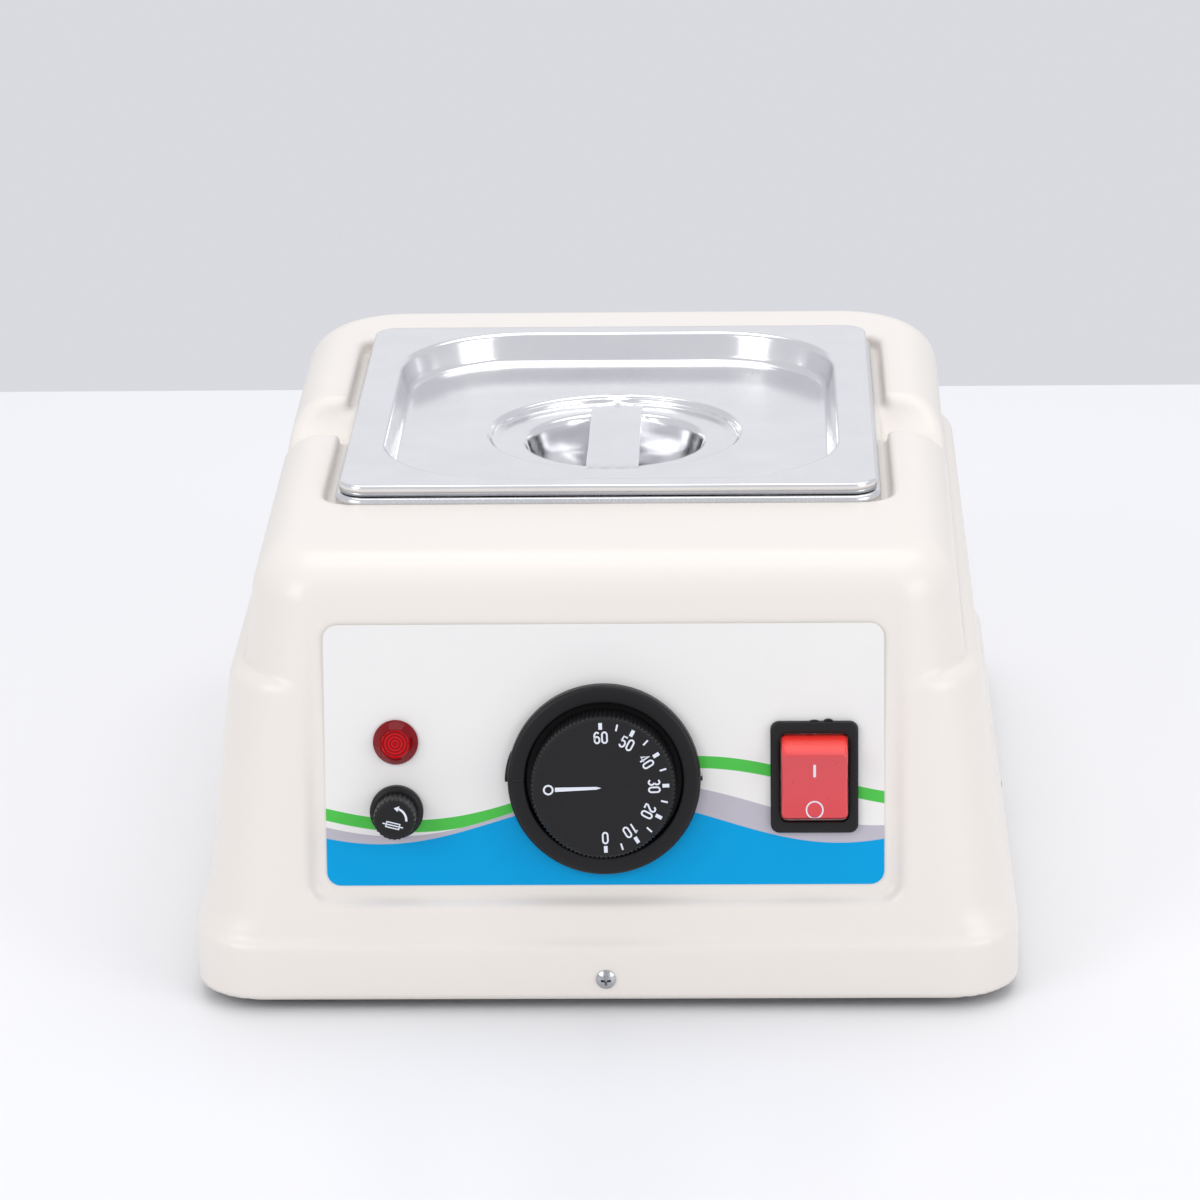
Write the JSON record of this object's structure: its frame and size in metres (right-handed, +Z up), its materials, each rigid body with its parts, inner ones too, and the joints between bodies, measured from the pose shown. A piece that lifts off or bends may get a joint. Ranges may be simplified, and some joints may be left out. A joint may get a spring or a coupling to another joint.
{
  "type": "electric chocolate melting pot",
  "caption": "Countertop dry-heat chocolate melter: ivory moulded casing, stainless food pan with lid, and a front panel with thermostat knob, rocker switch, pilot lamp and fuse holder.",
  "frame": {"origin": "On the table, below the middle of the whole pot's bounding box", "axes": "+Z up; the control panel faces -Y; +X is to the right seen from the front"},
  "size_m": [0.2422, 0.3196, 0.1345],
  "materials": {
    "casing_plastic": "moulded ivory plastic, fine satin skin",
    "pan_steel": "drawn stainless steel, satin inside, bright rim",
    "lid_steel": "pressed stainless steel, bright satin",
    "tank_sheet": "drawn aluminium sheet",
    "zinc_steel": "zinc-plated steel",
    "screw_steel": "bright plated screws and nuts",
    "overlay_print": "printed overlay, blue and white with green and grey stripes",
    "black_plastic": "black moulded plastic, fine satin",
    "knob_plastic": "black plastic with a printed white dial",
    "red_lens": "clear red plastic",
    "rocker_plastic": "red plastic with white marks",
    "brass": "brass tabs and stud",
    "copper": "bright copper tube",
    "fuse_glass": "clear glass tube with bright caps",
    "black_rubber": "moulded rubber",
    "heater_silicone": "silicone heater mat",
    "insulation_wool": "mineral wool",
    "brown_sleeve": "brown wire insulation",
    "blue_sleeve": "blue wire insulation",
    "green_sleeve": "green wire insulation",
    "white_sleeve": "white sleeved wire"
  },
  "bodies": {
    "melter": {"casing": "casing_plastic", "base_tray": "zinc_steel", "base_screws": "screw_steel", "rubber_feet": "black_rubber", "foot_screws": "screw_steel", "foot_nuts": "screw_steel", "panel_overlay": "overlay_print", "heated_tank": "tank_sheet", "tank_screws": "screw_steel", "tank_nuts": "screw_steel", "heater_mat": "heater_silicone", "insulation_block": "insulation_wool", "insulation_wrap": "insulation_wool", "thermal_cutout": "zinc_steel", "thermostat_body": "black_plastic", "thermostat_bracket": "zinc_steel", "thermostat_screws": "screw_steel", "thermostat_terminals": "brass", "capillary_tube": "copper", "sensor_bulb": "copper", "bulb_clip": "zinc_steel", "knob_bezel": "black_plastic", "switch_housing": "black_plastic", "switch_terminals": "brass", "lamp_lens": "red_lens", "lamp_body": "black_plastic", "lamp_nut": "black_plastic", "lamp_terminals": "brass", "fuse_holder": "black_plastic", "fuse_holder_nut": "black_plastic", "fuse_holder_terminals": "brass", "inlet_socket": "black_plastic", "inlet_pins": "brass", "inlet_screws": "screw_steel", "inlet_nuts": "screw_steel", "earth_stud": "brass", "earth_nuts": "screw_steel", "live_wires": "brown_sleeve", "neutral_wires": "blue_sleeve", "earth_wire": "green_sleeve", "heater_leads": "white_sleeve", "lamp_leads": "white_sleeve"},
    "pan": {"food_pan": "pan_steel"},
    "lid": {"lid": "lid_steel", "lid_handle": "lid_steel"},
    "knob": {"knob": "knob_plastic", "thermostat_spindle": "zinc_steel"},
    "rocker": {"switch_rocker": "rocker_plastic"},
    "fuse": {"glass_fuse": "fuse_glass"},
    "cap": {"fuse_cap": "black_plastic"}
  },
  "joints": [
    {"name": "pan_lift", "type": "slide", "parent": "melter", "child": "pan", "axis": [0, 0, 1], "range_m": [0, 0.12]},
    {"name": "lid_lift", "type": "slide", "parent": "pan", "child": "lid", "axis": [0, 0, 1], "range_m": [0, 0.08]},
    {"name": "knob_turn", "type": "hinge", "parent": "melter", "child": "knob", "pos_m": [0, -0.14301, 0.06727], "axis": [0, 0.9894, -0.1452], "range_deg": [0, 270]},
    {"name": "rocker_tilt", "type": "hinge", "parent": "melter", "child": "rocker", "pos_m": [0.06025, -0.14239, 0.06738], "axis": [-1, 0, 0], "range_deg": [0, 22]},
    {"name": "fuse_pull", "type": "slide", "parent": "melter", "child": "fuse", "axis": [0, -0.9894, 0.1452], "range_m": [0, 0.032]},
    {"name": "cap_turn", "type": "hinge", "parent": "fuse", "child": "cap", "pos_m": [-0.0598, -0.14439, 0.05787], "axis": [0, -0.9894, 0.1452], "range_deg": [0, 60]}
  ]
}
